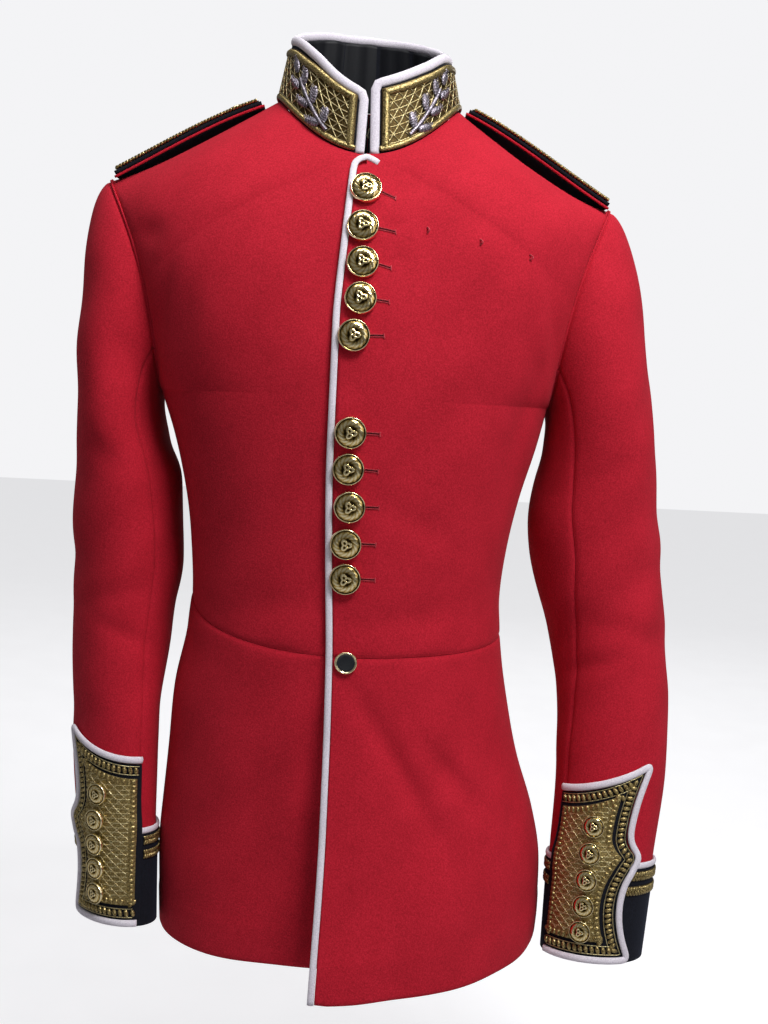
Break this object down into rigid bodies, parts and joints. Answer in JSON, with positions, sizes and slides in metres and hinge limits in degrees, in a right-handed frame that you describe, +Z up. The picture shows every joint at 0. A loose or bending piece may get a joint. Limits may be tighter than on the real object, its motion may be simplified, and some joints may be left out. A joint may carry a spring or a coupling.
{
  "type": "military dress tunic",
  "caption": "Scarlet single-breasted military dress tunic, filled out and hollow, with a navy standing collar, navy cuffs with slashed flaps, gold lace and gilt buttons.",
  "frame": {"origin": "the middle of the neck, level with the points where the shoulder seams meet the collar, where the wearer's neck and shoulders hold the tunic", "axes": "+Z up, the tunic's front faces -Y, +X is the wearer's left"},
  "size_m": [0.538, 0.2751, 0.8101],
  "materials": {
    "scarlet_melton": "scarlet wool melton, milled and napped",
    "white_piping": "white wool cloth over a cord",
    "navy_facing": "navy wool facing cloth",
    "gold_lace": "woven and embroidered gold wire",
    "gilt_brass": "struck brass, gilt"
  },
  "bodies": {
    "root": {"back_left": "scarlet_melton", "back_right": "scarlet_melton", "back_skirt_left": "scarlet_melton", "back_skirt_right": "scarlet_melton", "collar": "navy_facing", "collar_edging": "white_piping", "collar_embroidery_left": "gold_lace", "collar_embroidery_right": "gold_lace", "collar_lining": "navy_facing", "cuff_button_left_1": "gilt_brass", "cuff_button_left_2": "gilt_brass", "cuff_button_left_3": "gilt_brass", "cuff_button_left_4": "gilt_brass", "cuff_button_left_5": "gilt_brass", "cuff_button_right_1": "gilt_brass", "cuff_button_right_2": "gilt_brass", "cuff_button_right_3": "gilt_brass", "cuff_button_right_4": "gilt_brass", "cuff_button_right_5": "gilt_brass", "cuff_flap_left": "navy_facing", "cuff_flap_right": "navy_facing", "cuff_lace_left": "gold_lace", "cuff_lace_right": "gold_lace", "cuff_left": "navy_facing", "cuff_piping_left": "white_piping", "cuff_piping_right": "white_piping", "cuff_right": "navy_facing", "flap_embroidery_left": "gold_lace", "flap_embroidery_right": "gold_lace", "flap_piping_left": "white_piping", "flap_piping_right": "white_piping", "forepart_left": "scarlet_melton", "forepart_right": "scarlet_melton", "front_button_1": "gilt_brass", "front_button_10": "gilt_brass", "front_button_2": "gilt_brass", "front_button_3": "gilt_brass", "front_button_4": "gilt_brass", "front_button_5": "gilt_brass", "front_button_6": "gilt_brass", "front_button_7": "gilt_brass", "front_button_8": "gilt_brass", "front_button_9": "gilt_brass", "front_piping": "white_piping", "front_skirt_left": "scarlet_melton", "front_skirt_right": "scarlet_melton", "shoulder_strap_left": "navy_facing", "shoulder_strap_right": "navy_facing", "strap_button_left": "gilt_brass", "strap_button_right": "gilt_brass", "strap_lace_left": "gold_lace", "strap_lace_right": "gold_lace", "strap_underlay_left": "scarlet_melton", "strap_underlay_right": "scarlet_melton", "top_sleeve_left": "scarlet_melton", "top_sleeve_right": "scarlet_melton", "under_sleeve_left": "scarlet_melton", "under_sleeve_right": "scarlet_melton", "waist_button": "gilt_brass"}
  },
  "joints": []
}
